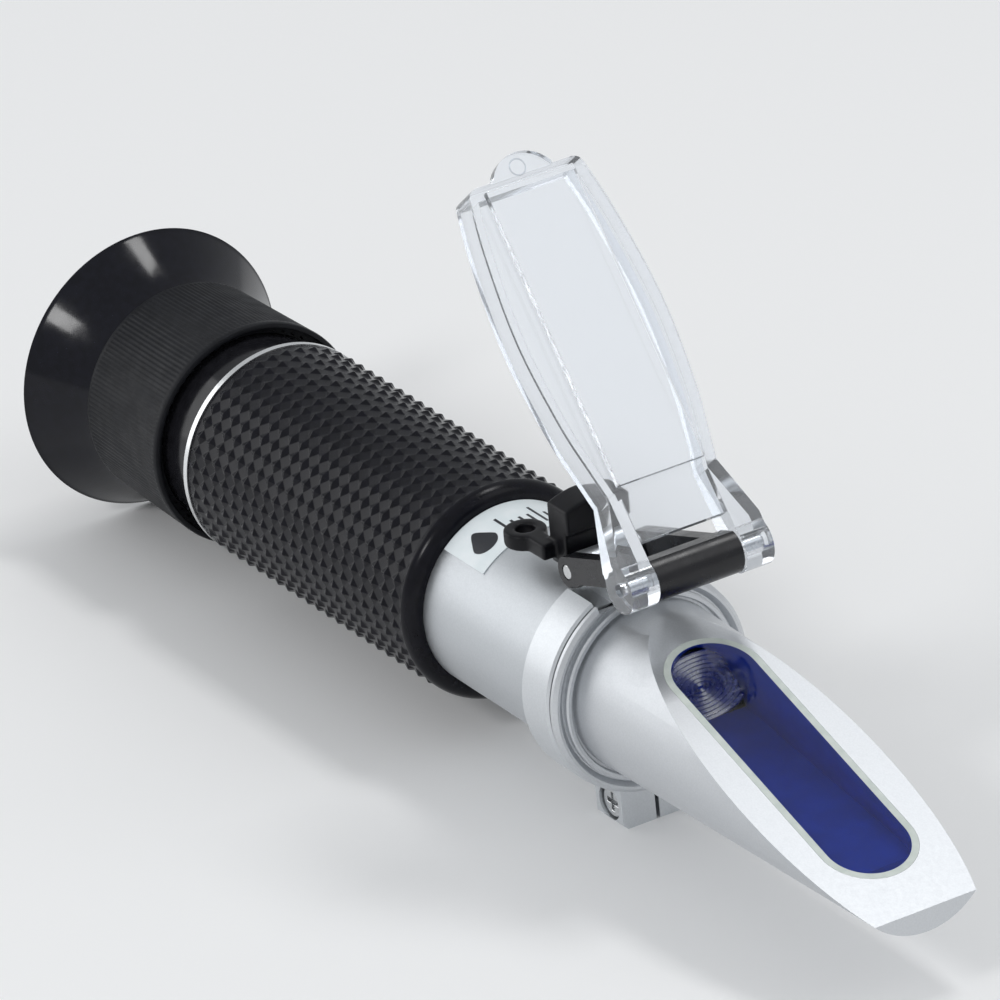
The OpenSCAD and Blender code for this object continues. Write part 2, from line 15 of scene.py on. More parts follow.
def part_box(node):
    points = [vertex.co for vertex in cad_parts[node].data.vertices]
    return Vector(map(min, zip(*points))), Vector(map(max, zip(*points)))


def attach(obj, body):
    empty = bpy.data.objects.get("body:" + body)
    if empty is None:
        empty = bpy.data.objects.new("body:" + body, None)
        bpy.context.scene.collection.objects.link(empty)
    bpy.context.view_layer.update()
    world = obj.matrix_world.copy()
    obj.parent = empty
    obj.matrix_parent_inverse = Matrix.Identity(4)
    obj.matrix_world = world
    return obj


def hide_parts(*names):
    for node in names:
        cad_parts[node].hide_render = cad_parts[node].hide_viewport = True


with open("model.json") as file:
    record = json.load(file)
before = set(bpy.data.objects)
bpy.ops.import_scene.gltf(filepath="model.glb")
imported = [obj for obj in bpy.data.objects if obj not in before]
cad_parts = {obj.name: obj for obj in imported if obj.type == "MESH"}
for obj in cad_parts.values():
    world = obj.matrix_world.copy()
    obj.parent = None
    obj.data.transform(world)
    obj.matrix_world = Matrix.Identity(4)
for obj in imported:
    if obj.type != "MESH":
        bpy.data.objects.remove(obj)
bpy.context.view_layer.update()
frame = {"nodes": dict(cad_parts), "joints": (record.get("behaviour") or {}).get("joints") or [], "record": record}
nodes = frame["nodes"]

MM = 0.001
TAU = 2 * math.pi
GRIP_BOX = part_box("grip_sleeve")
REAR_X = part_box("eyecup")[0].x                      # the eyecup's rim
AXIS_Z = (GRIP_BOX[0].z + GRIP_BOX[1].z) / 2        # height of the optical axis
MERGE = 1e-6                                        # distance under which two vertices are one, in metres


# ---- Frame helpers ----


def along(node):
    """Start and end of a CAD node along the barrel, in mm from the eyecup's rim."""
    low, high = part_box(node)
    return (low.x - REAR_X) / MM, (high.x - REAR_X) / MM


def radius(node):
    """Outer radius of a turned CAD node, in mm."""
    low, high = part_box(node)
    return (high.y - low.y) / 2 / MM


def round_axis(x, r, angle):
    """Point x mm along the barrel and r mm from the axis, at an angle from the top towards +Y."""
    return Vector((REAR_X + x * MM, r * math.sin(angle) * MM, AXIS_Z + r * math.cos(angle) * MM))


def joint_place(name):
    """Where a joint's axis is, in metres."""
    return Vector(next(j["pos_m"] for j in frame["joints"] if j["name"] == name))


# ---- Mesh helpers ----


def add_object(name, data):
    """A new object of the scene that shows the data."""
    thing = bpy.data.objects.new(name, data)
    bpy.context.scene.collection.objects.link(thing)
    return thing


def make_piece(name, points, faces, body, replaced=()):
    """A new mesh piece that rides on a body and stands for the replaced nodes."""
    mesh = bpy.data.meshes.new(name)
    mesh.from_pydata(points, [], faces)
    mesh.validate()
    return enter(add_object(name, mesh), body, replaced)


def enter(piece, body, replaced=()):
    """Gives a piece its body and the nodes it stands for."""
    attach(piece, body)
    if replaced:
        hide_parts(*replaced)
    return piece


def smooth_by_angle(piece, degrees):
    """Smooth shading that keeps edges sharper than an angle crisp."""
    for face in piece.data.polygons:
        face.use_smooth = True
    piece.data.set_sharp_from_angle(angle=math.radians(degrees))


def face_outwards(piece):
    """Turns every face outwards, and drops the points that no face uses."""
    bm = bmesh.new()
    bm.from_mesh(piece.data)
    loose = [v for v in bm.verts if not v.link_faces]
    bmesh.ops.delete(bm, geom=loose, context="VERTS")
    bmesh.ops.recalc_face_normals(bm, faces=bm.faces)
    bm.to_mesh(piece.data)
    bm.free()


def add_bevel(piece, name, width, segments, angle):
    """Rounds the edges sharper than an angle, width mm wide."""
    bevel = piece.modifiers.new(name, "BEVEL")
    bevel.width = width * MM
    bevel.segments = segments
    bevel.limit_method = "ANGLE"
    bevel.angle_limit = math.radians(angle)
    return bevel


def rings_to_faces(count, columns, closed=True):
    """Quads between rings of vertices, and from the last ring back to the first when closed."""
    faces = []
    for i in range(count if closed else count - 1):
        a = i * columns
        b = (i + 1) % count * columns
        for j in range(columns):
            k = (j + 1) % columns
            faces.append((a + j, b + j, b + k, a + k))
    return faces


def turn(name, profile, columns, body, replaced=(), ripple=None, crease=35):
    """A closed profile of (x, r) points turned about the optical axis.

    ripple(station, angle) gives how far a point of that station is pushed outwards, in mm.
    """
    points = []
    for i, (x, r) in enumerate(profile):
        for j in range(columns):
            angle = TAU * j / columns
            push = ripple(i, angle) if ripple else 0
            points.append(round_axis(x, r + push, angle))
    piece = make_piece(name, points, rings_to_faces(len(profile), columns), body, replaced)
    smooth_by_angle(piece, crease)
    return piece


def arc(cx, cr, r, start, end, steps):
    """Points (x, r) on an arc of radius r about (cx, cr), with angles in degrees from +X."""
    found = []
    for i in range(steps + 1):
        a = math.radians(start + (end - start) * i / steps)
        found.append((cx + r * math.cos(a), cr + r * math.sin(a)))
    return found


EDGE_SEGMENTS = 3
EDGE_ANGLE = 28          # degrees; sharper edges than this are rounded
FLAT_ANGLE = 0.5         # degrees; faces that meet flatter than this are one


def copy_of(node, name, join_flat=False):
    """A copy of a CAD node with its split vertices merged, and its flat faces joined if asked."""
    mesh = nodes[node].data.copy()
    mesh.name = name
    bm = bmesh.new()
    bm.from_mesh(mesh)
    bmesh.ops.remove_doubles(bm, verts=bm.verts, dist=MERGE)
    if join_flat:
        bmesh.ops.dissolve_limit(bm, angle_limit=math.radians(FLAT_ANGLE), verts=bm.verts, edges=bm.edges)
    bm.to_mesh(mesh)
    bm.free()
    if mesh.attributes.get("custom_normal"):
        mesh.attributes.remove(mesh.attributes["custom_normal"])
    return add_object(name, mesh)


def bevelled(name, node, body, width):
    """A copy of a CAD node with its edges rounded, which stands for the node."""
    piece = copy_of(node, name, join_flat=True)
    smooth_by_angle(piece, EDGE_ANGLE)
    bevel = add_bevel(piece, "rounded_edges", width, EDGE_SEGMENTS, EDGE_ANGLE)
    bevel.use_clamp_overlap = True
    bevel.harden_normals = True
    return enter(piece, body, (node,))


def moulded(name, node, body, voxel, smoothing):
    """A copy of a CAD node with every edge softened as in a rubber moulding.

    voxel is the skin's grain in mm, and smoothing is how many times it is evened out.
    """
    piece = copy_of(node, name)
    remesh = piece.modifiers.new("skin", "REMESH")
    remesh.mode = "VOXEL"
    remesh.voxel_size = voxel * MM
    remesh.use_smooth_shade = True
    soften = piece.modifiers.new("soften", "SMOOTH")
    soften.factor = 0.5
    soften.iterations = smoothing
    return enter(piece, body, (node,))


# ---- Material helpers ----


def new_material(name, base, rough, metallic=0.0, **sockets):
    """A Principled material; sockets name further inputs and their constant values."""
    material = bpy.data.materials.new(name)
    material.use_nodes = True
    shader = material.node_tree.nodes["Principled BSDF"]
    shader.inputs["Base Color"].default_value = (*base, 1)
    shader.inputs["Roughness"].default_value = rough
    shader.inputs["Metallic"].default_value = metallic
    for key, value in sockets.items():
        shader.inputs[key.replace("_", " ")].default_value = value
    return material


def add_node(material, kind, **values):
    """A node with its properties and inputs set."""
    node = material.node_tree.nodes.new(kind)
    for key, value in values.items():
        if key in node.inputs:
            node.inputs[key].default_value = value
        else:
            setattr(node, key, value)
    return node


def object_coords(material, stretch=None):
    """The piece's own coordinates in metres, stretched per axis if asked."""
    coords = add_node(material, "ShaderNodeTexCoord")
    if stretch is None:
        return coords.outputs["Object"]
    mapping = add_node(material, "ShaderNodeMapping", Scale=stretch)
    material.node_tree.links.new(coords.outputs["Object"], mapping.inputs["Vector"])
    return mapping.outputs["Vector"]


def noise(material, size, detail=2.0, stretch=None):
    """Noise whose features are about size mm across."""
    texture = add_node(material, "ShaderNodeTexNoise", Scale=1 / (size * MM), Detail=detail)
    material.node_tree.links.new(object_coords(material, stretch), texture.inputs["Vector"])
    return texture.outputs["Fac"]


def spread(material, value, low, high, start=0.35, end=0.65):
    """A value mapped from start..end to low..high."""
    node = add_node(material, "ShaderNodeMapRange")
    for key, number in zip(("From Min", "From Max", "To Min", "To Max"), (start, end, low, high)):
        node.inputs[key].default_value = number
    material.node_tree.links.new(value, node.inputs["Value"])
    return node.outputs["Result"]


def vary_roughness(material, value, low, high):
    """Roughness that follows a texture."""
    shader = material.node_tree.nodes["Principled BSDF"]
    material.node_tree.links.new(spread(material, value, low, high), shader.inputs["Roughness"])


MIX_FIRST, MIX_SECOND, MIX_RESULT = 6, 7, 2          # the Mix node's colour sockets


def vary_colour(material, value, first, second):
    """Colour that follows a texture."""
    shader = material.node_tree.nodes["Principled BSDF"]
    mix = add_node(material, "ShaderNodeMix", data_type="RGBA")
    material.node_tree.links.new(spread(material, value, 0, 1), mix.inputs["Factor"])
    mix.inputs[MIX_FIRST].default_value = (*first, 1)
    mix.inputs[MIX_SECOND].default_value = (*second, 1)
    material.node_tree.links.new(mix.outputs[MIX_RESULT], shader.inputs["Base Color"])


def bump(material, layers):
    """Bump from a list of (texture value, depth in mm), one over the other."""
    shader = material.node_tree.nodes["Principled BSDF"]
    below = None
    for value, depth in layers:
        node = add_node(material, "ShaderNodeBump", Distance=depth * MM, Strength=1.0)
        material.node_tree.links.new(value, node.inputs["Height"])
        if below:
            material.node_tree.links.new(below, node.inputs["Normal"])
        below = node.outputs["Normal"]
    material.node_tree.links.new(below, shader.inputs["Normal"])


def paint(piece, material):
    """Puts a material on a piece or a CAD node."""
    piece.data.materials.clear()
    piece.data.materials.append(material)


METAL_SHARE = 0.88               # the blasted skin scatters some light like a pale paint
BLASTED_LINE_DEPTH = 0.0006      # mm


def black_plastic(name, base, low, high, grain, depth, gloss):
    """Black moulded plastic or rubber with a fine surface grain and slightly uneven gloss."""
    material = new_material(name, base, (low + high) / 2, Specular_IOR_Level=gloss)
    vary_roughness(material, noise(material, 2.5, 4), low, high)
    vary_colour(material, noise(material, 1.2, 3), base, tuple(c * 1.5 for c in base))
    bump(material, [(noise(material, grain, 2), depth)])
    return material


def blasted_metal(name, base, low, high, depth):
    """Satin bead-blasted aluminium: fine pits, faint turned lines and slightly uneven gloss."""
    material = new_material(name, base, (low + high) / 2, metallic=METAL_SHARE)
    grain = noise(material, 0.22, 2)
    lines = noise(material, 0.12, 1, stretch=(1, 0.02, 0.02))
    vary_roughness(material, noise(material, 0.5, 3), low, high)
    vary_colour(material, grain, tuple(c * 0.95 for c in base), base)
    bump(material, [(grain, depth), (lines, BLASTED_LINE_DEPTH)])
    return material


def dark_metal(name, base, low, high):
    """Blackened machined metal that still catches light on its ridges."""
    material = new_material(name, base, (low + high) / 2, metallic=0.7)
    vary_roughness(material, noise(material, 0.8, 4), low, high)
    bump(material, [(noise(material, 0.1, 2), 0.002)])
    return material


def turned_metal(name, base, low, high):
    """Machined metal with fine turned lines round the optical axis."""
    material = new_material(name, base, (low + high) / 2, metallic=1.0)
    lines = noise(material, 0.08, 2, stretch=(1, 0.01, 0.01))
    vary_roughness(material, noise(material, 0.8, 4), low, high)
    bump(material, [(lines, 0.003)])
    return material


def clear_material(name, tint, ior, rough, clarity=1.0):
    """Clear moulded plastic or glass, with faint flow marks in its surface."""
    material = new_material(name, tint, rough, IOR=ior, Transmission_Weight=clarity)
    vary_roughness(material, noise(material, 5, 3), rough, rough + 0.03)
    bump(material, [(noise(material, 12, 1), 0.002)])
    return material


def mottled(name, base, first, second, rough, drift, grain, depth):
    """Paper, paint or sealant whose colour drifts between two tones, over a fine relief.

    drift and grain are each (size in mm, detail) of a noise, and depth is the relief's in mm.
    """
    material = new_material(name, base, rough)
    vary_colour(material, noise(material, *drift), first, second)
    bump(material, [(noise(material, *grain), depth)])
    return material


def build_materials():
    """Every material, by the record's slot."""
    return {
        "eyecup": black_plastic("eyecup_plastic", (0.004, 0.0042, 0.0075), 0.1, 0.16, 0.5, 0.001, 0.25),
        "focus_ring": black_plastic("ring_plastic", (0.006, 0.0065, 0.0085), 0.42, 0.52, 0.12, 0.004, 0.18),
        "black_anodised": dark_metal("black_anodising", (0.11, 0.11, 0.12), 0.16, 0.26),
        "gloss_black": black_plastic("gloss_enamel", (0.009, 0.009, 0.011), 0.1, 0.2, 0.6, 0.001, 0.3),
        "grip_rubber": black_plastic("grip_rubber", (0.004, 0.004, 0.0065), 0.2, 0.27, 0.1, 0.003, 0.17),
        "cap_rubber": black_plastic("cap_rubber", (0.004, 0.004, 0.0055), 0.3, 0.4, 0.1, 0.003, 0.2),
        "bracket_black": black_plastic(
            "bracket_plastic", (0.007, 0.007, 0.009), 0.24, 0.34, 0.2, 0.002, 0.42),
        "satin_silver": blasted_metal("barrel_aluminium", (0.6, 0.625, 0.65), 0.4, 0.46, 0.0022),
        "housing_metal": blasted_metal("housing_aluminium", (0.66, 0.68, 0.705), 0.38, 0.44, 0.0022),
        "clamp_metal": blasted_metal("clamp_aluminium", (0.7, 0.725, 0.75), 0.34, 0.4, 0.0012),
        "bright_trim": turned_metal("bright_trim", (0.8, 0.81, 0.82), 0.24, 0.34),
        "screw_steel": turned_metal("screw_steel", (0.66, 0.67, 0.68), 0.18, 0.3),
        "brass": turned_metal("machined_brass", (0.72, 0.53, 0.25), 0.25, 0.36),
        "bimetal": turned_metal("rolled_bimetal", (0.55, 0.45, 0.36), 0.3, 0.42),
        "lens_glass": clear_material("lens_glass", (0.97, 0.99, 1.0), 1.52, 0.0),
        "prism_glass": clear_material("prism_glass", (0.97, 0.98, 1.0), 1.52, 0.0),
        "clear_plastic": clear_material("clear_acrylic", (0.92, 0.95, 0.99), 1.49, 0.03, 0.93),
        "label": mottled(
            "label_paper", (0.8, 0.86, 0.88), (0.76, 0.83, 0.85), (0.83, 0.88, 0.9), 0.42,
            drift=(3, 3), grain=(0.15, 3), depth=0.004),
        "blue_backing": mottled(
            "blue_backing", (0.012, 0.03, 0.19), (0.004, 0.05, 0.5), (0.006, 0.062, 0.6), 0.3,
            drift=(4, 2), grain=(0.8, 1), depth=0.001),
        "seal": mottled(
            "seal_bead", (0.62, 0.67, 0.63), (0.57, 0.63, 0.59), (0.66, 0.71, 0.67), 0.45,
            drift=(1.5, 3), grain=(0.5, 2), depth=0.02),
    }


# ---- Pieces ----

CUP_CURVE = 1.2          # power of the flare, 1 being a straight cone
CUP_ROOT_R = 13.2        # where the flare meets the focus ring
CUP_WALL = 0.9
CUP_NECK_R = 11
CUP_NECK_BORE_R = 9.6
CUP_STEPS = 24


def make_eyecup():
    """The flared cup, with a rounded rim and a neck that runs inside the focus ring."""
    rim_r = radius("eyecup")
    bell_end = along("focus_ring")[0]
    neck_end = along("eyecup")[1]

    def outer(x):
        return CUP_ROOT_R + (rim_r - CUP_ROOT_R) * (1 - x / bell_end) ** CUP_CURVE

    profile = []
    for i in range(1, CUP_STEPS + 1):
        x = bell_end * i / CUP_STEPS
        profile.append((x, outer(x)))
    profile += [(bell_end, CUP_NECK_R), (neck_end, CUP_NECK_R), (neck_end, CUP_NECK_BORE_R)]
    profile.append((bell_end + CUP_WALL, CUP_NECK_BORE_R))
    for i in range(CUP_STEPS, 0, -1):
        x = bell_end * i / CUP_STEPS
        profile.append((x, outer(x) - CUP_WALL))
    # the rounding of the rim, from its inner edge to its outer one
    profile += [(0.12, rim_r - CUP_WALL - 0.02), (0.0, rim_r - CUP_WALL / 2)]
    profile += [(0.03, rim_r - 0.14), (0.14, rim_r - 0.02)]
    return turn("eyecup_bell", profile, 160, "focus", ("eyecup",))


RIBS = 150
RIB_DEPTH = 0.11
RIB_COLUMNS = 6          # columns of vertices for each rib
SERRATIONS = 56
SERRATION_DEPTH = 0.3
RING_REAR_R = 13.85      # beside the eyecup
RING_STEP_R = 13.05      # the serrated step in the front recess
RING_WALL = 0.7          # round the front recess
RUNNING_GAP = 0.05       # between the ring and the helicoid tube


def make_focus_ring():
    """The focus ring with fine axial ribs, and a serrated step inside its front recess."""
    start, end = along("focus_ring")
    front_r = radius("focus_ring")
    bore_r = radius("helicoid_tube") + RUNNING_GAP
    wall_r = front_r - RING_WALL
    neck_end = along("eyecup")[1]

    def surface(x):
        return RING_REAR_R + (front_r - RING_REAR_R) * (x - start) / (end - start)

    profile = [
        (start, CUP_NECK_R + 0.02), (start, RING_REAR_R - 0.3), (start + 0.1, RING_REAR_R - 0.1),
        (start + 0.3, surface(start)), (start + 0.8, surface(start + 0.8)),
        (start + 1.0, surface(start + 1)), (end - 1.2, surface(end - 1.2)), (end - 1.0, surface(end - 1)),
        (end - 0.35, front_r), (end - 0.1, front_r - 0.1), (end, front_r - 0.3),
        (end, wall_r + 0.1), (end - 0.1, wall_r), (end - 0.9, wall_r), (end - 1.0, RING_STEP_R),
        (end - 1.5, RING_STEP_R), (end - 1.5, bore_r), (neck_end, bore_r), (neck_end, CUP_NECK_R + 0.02)]
    ribbed = {5, 6}            # stations of the profile on the outer surface
    serrated = {14, 15}        # and on the step in the recess

    def ripple(station, angle):
        if station in ribbed:
            return -RIB_DEPTH * (0.5 - 0.5 * math.cos(RIBS * angle))
        if station in serrated:
            return -SERRATION_DEPTH * (0.5 - 0.5 * math.cos(SERRATIONS * angle))
        return 0

    columns = RIBS * RIB_COLUMNS
    return turn("focus_ring_ribbed", profile, columns, "focus", ("focus_ring",), ripple)


GRIP_ROWS = 21
GRIP_COLUMNS = 44
POINT_HEIGHT = 0.36
GAP_SINK = 0.04           # how far the middle of each gap lies below the points' feet
POINT_FLAT = 0.06         # width of a point's blunt top, as a share of the cell
POINT_ROUNDING = 0.09
POINT_ANGLE = 20          # degrees; sharper edges than this are rounded
FACET_ANGLE = 18          # degrees; sharper edges than this are shaded crisp
GRIP_REAR_BAND = 0.35     # plain rubber behind the first row of points
GRIP_FRONT_BAND = 2.5     # and the rim in front of the last one
GRIP_RIM_DROP = 0.15      # how far the rim stays below the points
GRIP_RIM_STEPS = 10


def make_grip():
    """The rubber sleeve: a grid of blunt diamond points, and a smooth rounded rim in front."""
    start, end = along("grip_sleeve")
    top_r = radius("grip_sleeve")
    base_r = top_r - POINT_HEIGHT
    bore_r = radius("main_tube") + 0.02
    first = start + GRIP_REAR_BAND
    last = end - GRIP_FRONT_BAND
    columns = 2 * GRIP_COLUMNS
    points = []
    faces = []

    def ring(x, r, sunk=0):
        base = len(points)
        for j in range(columns):
            points.append(round_axis(x, r if j % 2 else r - sunk, TAU * j / columns))
        return base

    def join(a, b):
        for j in range(columns):
            k = (j + 1) % columns
            faces.append((a + j, b + j, b + k, a + k))

    lattice = []
    for i in range(2 * GRIP_ROWS + 1):
        sunk = 0 if i % 2 else GAP_SINK
        lattice.append(ring(first + (last - first) * i / (2 * GRIP_ROWS), base_r, sunk))
    row_len = (last - first) / GRIP_ROWS
    for i in range(GRIP_ROWS):
        before, middle, after = lattice[2 * i], lattice[2 * i + 1], lattice[2 * i + 2]
        for j in range(GRIP_COLUMNS):
            left, centre, right = 2 * j, 2 * j + 1, (2 * j + 2) % columns
            x = first + row_len * (i + 0.5)
            angle = TAU * (2 * j + 1) / columns
            step = TAU / GRIP_COLUMNS * POINT_FLAT
            top = len(points)
            points.append(round_axis(x - row_len * POINT_FLAT, top_r, angle))
            points.append(round_axis(x, top_r, angle + step))
            points.append(round_axis(x + row_len * POINT_FLAT, top_r, angle))
            points.append(round_axis(x, top_r, angle - step))
            rim = [before + centre, middle + right, after + centre, middle + left]
            for k in range(4):
                n = (k + 1) % 4
                faces.append((rim[k], top + k, top + n, rim[n]))
            faces.append((top, top + 3, top + 2, top + 1))
            faces.append((before + left, middle + left, before + centre))
            faces.append((before + right, before + centre, middle + right))
            faces.append((after + right, middle + right, after + centre))
            faces.append((after + left, after + centre, middle + left))
    rear = [ring(start, bore_r), ring(start, base_r - 0.1), ring(start + 0.1, base_r)]
    front = [ring(last + 0.25, base_r), ring(last + 0.5, base_r + 0.12)]
    rim_r = top_r - GRIP_RIM_DROP
    round_r = rim_r - radius("main_tube") - 0.3
    for x, r in arc(end - round_r, rim_r - round_r, round_r, 90, 0, GRIP_RIM_STEPS):
        front.append(ring(x, r))
    front.append(ring(end, bore_r))
    chain = rear + [lattice[0]]
    for a, b in zip(chain, chain[1:]):
        join(a, b)
    chain = [lattice[-1]] + front + [rear[0]]
    for a, b in zip(chain, chain[1:]):
        join(a, b)
    piece = make_piece("grip_diamonds", points, faces, "barrel", ("grip_sleeve",))
    face_outwards(piece)
    smooth_by_angle(piece, FACET_ANGLE)
    add_bevel(piece, "soft_points", POINT_ROUNDING, 2, POINT_ANGLE)
    return piece


LABEL_R = (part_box("body_label")[1].z - AXIS_Z) / MM         # outer radius, from its highest point
MARK_LIFT = 0.02
MARK_DEPTH = 0.03
MARK_RINGS = 4
TICKS = 9
TICK_FIRST = -2.4            # round the barrel from its top
TICK_PITCH = 1.15
TICK_HALF_WIDTH = 0.16
TICK_LONG, TICK_SHORT = 4.6, 2.8
LONG_TICK_EVERY = 4
TICK_INSET = 1.5             # from the label's front edge
DROP_R = 1.75
DROP_PLACE = -5.6            # round the barrel from its top
DROP_SHIFT = 0.7             # forward from the label's middle
DROP_POINTS = 40


def on_label(x, s, lift):
    """Point x mm along the barrel and s mm round it from the top, lift mm above the label."""
    return round_axis(x, LABEL_R + lift, s / LABEL_R)


def make_patch(name, outline, centre):
    """A thin printed patch on the label, with its outline given as (x, s) points."""
    count = len(outline)
    points = []
    faces = []
    for lift in (MARK_LIFT + MARK_DEPTH, 0):
        base = len(points)
        points.append(on_label(*centre, lift))
        for k in range(1, MARK_RINGS + 1):
            share = k / MARK_RINGS
            for x, s in outline:
                inner_x = centre[0] + (x - centre[0]) * share
                inner_s = centre[1] + (s - centre[1]) * share
                points.append(on_label(inner_x, inner_s, lift))
        flip = lift == 0
        for j in range(count):
            n = (j + 1) % count
            tri = (base, base + 1 + j, base + 1 + n)
            faces.append(tri[::-1] if flip else tri)
            for k in range(MARK_RINGS - 1):
                a = base + 1 + k * count
                b = a + count
                quad = (a + j, b + j, b + n, a + n)
                faces.append(quad[::-1] if flip else quad)
    top = 1 + (MARK_RINGS - 1) * count
    under = top + 1 + MARK_RINGS * count
    for j in range(count):
        n = (j + 1) % count
        faces.append((top + j, under + j, under + n, top + n))
    piece = make_piece(name, points, faces, "barrel")
    face_outwards(piece)
    return piece


def make_label_marks(ink):
    """A generic mark on the label: a drop beside a short scale of ticks."""
    start, end = along("body_label")
    drop_x = (start + end) / 2 + DROP_SHIFT
    outline = []
    for i in range(DROP_POINTS):
        a = TAU * i / DROP_POINTS
        rise = max(0.0, math.cos(a))        # towards the drop's tip, which is longer and narrower
        length = DROP_R * math.cos(a) * (1 + 0.55 * rise ** 3)
        width = DROP_R * math.sin(a) * (1 - 0.3 * rise)
        outline.append((drop_x - length, DROP_PLACE + width))
    paint(make_patch("label_drop", outline, (drop_x, DROP_PLACE)), ink)
    front = end - TICK_INSET
    for i in range(TICKS):
        s = TICK_FIRST + TICK_PITCH * i
        rear = front - (TICK_LONG if i % LONG_TICK_EVERY == 0 else TICK_SHORT)
        left, right = s - TICK_HALF_WIDTH, s + TICK_HALF_WIDTH
        corners = [(front, left), (front, right), (rear, right), (rear, left)]
        paint(make_patch(f"label_tick_{i + 1}", corners, ((front + rear) / 2, s)), ink)


# ---- Prism's painted underside, and the ridges seen through it ----

PAINT_SINK = 0.03                    # how far paint reaches into the glass, so that the two touch
PAINT_THICKNESS = 0.3
FACE_TILT = math.radians(18.5)       # of the measuring face, from level
FACING = 0.99                        # cosine from which a face counts as looking a given way


def make_prism_paint():
    """The blue paint that coats the prism's floor and sides, in contact with the glass.

    The measuring face and the rear face, where light leaves for the eyepiece, stay clear.
    """
    upward = Vector((math.sin(FACE_TILT), 0, math.cos(FACE_TILT)))
    bm = bmesh.new()
    bm.from_mesh(nodes["prism"].data)
    bmesh.ops.remove_doubles(bm, verts=bm.verts, dist=MERGE)
    bmesh.ops.recalc_face_normals(bm, faces=bm.faces)
    bm.normal_update()
    for vert in bm.verts:
        vert.co -= vert.normal * PAINT_SINK * MM
    bm.normal_update()
    clear = [f for f in bm.faces if f.normal.dot(upward) > FACING or f.normal.x < -FACING]
    bmesh.ops.delete(bm, geom=clear, context="FACES")
    mesh = bpy.data.meshes.new("prism_paint")
    bm.to_mesh(mesh)
    bm.free()
    piece = add_object("prism_paint", mesh)
    smooth_by_angle(piece, 30)
    coat = piece.modifiers.new("coat", "SOLIDIFY")
    coat.thickness = PAINT_THICKNESS * MM
    coat.offset = 1
    return enter(piece, "barrel", ("prism_backing",))


STEP_PITCH = 0.85
STEP_DEPTH = 0.3
STEP_RINGS = 8
STEP_LAND = 0.1          # flat on each side of a step
STEP_HOLE_R = 0.35       # left open in the middle
STEP_LENGTH = 0.8        # behind the prism's rear face


def make_baffle_steps():
    """Ridged steps that stand in for the view of the light baffle, sunk into the prism's rear face."""
    rear_x = along("prism")[0]
    face_x = rear_x + PAINT_SINK
    outer_r = STEP_PITCH * STEP_RINGS + STEP_HOLE_R
    profile = [(rear_x - STEP_LENGTH, outer_r), (face_x, outer_r)]
    for i in range(STEP_RINGS):
        r = outer_r - STEP_LAND - i * STEP_PITCH
        profile.append((face_x, r - STEP_LAND))
        profile.append((face_x + STEP_DEPTH, r - STEP_PITCH / 2))
        profile.append((face_x, r - STEP_PITCH + STEP_LAND))
    profile.append((rear_x - STEP_LENGTH, profile[-1][1]))
    return turn("baffle_steps", profile, 120, "barrel", crease=20)


# ---- Daylight plate's moulded details ----

PLATE_ANGLE = math.radians(129.6)        # how far the plate is open in the photograph, from +X
TAB_MARK_PLACE = (50.3, 0, -1.3)         # in the plate's own frame
TAB_MARK_R = 1.0
TAB_MARK_WIRE_R = 0.09
TAB_MARK_COLUMNS, TAB_MARK_WIRE_COLUMNS = 40, 8


def plate_matrix():
    """From the plate's own frame in mm (+X away from the hinge, +Z outwards) to the row frame."""
    turn_y = Matrix.Rotation(-PLATE_ANGLE, 4, "Y")
    return Matrix.Translation(joint_place("plate_hinge")) @ turn_y @ Matrix.Scale(MM, 4)


def make_tab_mark(clear):
    """The small round ejector mark on the plate's finger tab."""
    place = plate_matrix() @ Matrix.Translation(TAB_MARK_PLACE)
    points = []
    for i in range(TAB_MARK_COLUMNS):
        a = TAU * i / TAB_MARK_COLUMNS
        for j in range(TAB_MARK_WIRE_COLUMNS):
            b = TAU * j / TAB_MARK_WIRE_COLUMNS
            r = TAB_MARK_R + TAB_MARK_WIRE_R * math.cos(b)
            points.append(place @ Vector((r * math.cos(a), r * math.sin(a), TAB_MARK_WIRE_R * math.sin(b))))
    faces = rings_to_faces(TAB_MARK_COLUMNS, TAB_MARK_WIRE_COLUMNS)
    piece = make_piece("tab_mark", points, faces, "plate")
    smooth_by_angle(piece, 60)
    paint(piece, clear)


# ---- Studio ----

CAMERA_AZIMUTH = math.radians(60.562)
CAMERA_ELEVATION = math.radians(25.906)
CAMERA_ROLL = math.radians(-5.773)
CAMERA_DISTANCE = 1398.3
CAMERA_AIM = 76.5             # along the axis from the eyecup's rim
CAMERA_SIDE = 3.03            # shift to the camera's right
CAMERA_RAISE = 8.57           # and up
LENS = 424.3                  # focal length
FLOOR_REACH = 4               # metres from the middle
SKY_COLOUR = (0.95, 0.975, 1)
SKY_GLOW = 0.53
# name, direction from the barrel's middle, distance and size in metres, brightness of its face
SOFTBOXES = [
    ("top_strip", (0.015, 0.375, 0.93), 0.8, (0.23, 0.13), 13),
    ("left_box", (0.14, -0.76, 0.64), 0.8, (0.15, 0.15), 17),
    ("rear_left_box", (-0.8, -0.52, 0.3), 0.95, (0.6, 0.7), 1.2),
    ("right_box", (0.57, 0.44, 0.69), 1.0, (0.5, 0.5), 0.9),
]


def camera_axes():
    """The camera's right, up and backward directions."""
    azimuth, elevation = CAMERA_AZIMUTH, CAMERA_ELEVATION
    back = Vector((math.sin(azimuth) * math.cos(elevation), -math.cos(azimuth) * math.cos(elevation),
                   math.sin(elevation)))
    level = Vector((math.cos(azimuth), math.sin(azimuth), 0))
    upright = back.cross(level)
    right = math.cos(CAMERA_ROLL) * level + math.sin(CAMERA_ROLL) * upright
    up = math.cos(CAMERA_ROLL) * upright - math.sin(CAMERA_ROLL) * level
    return right, up, back


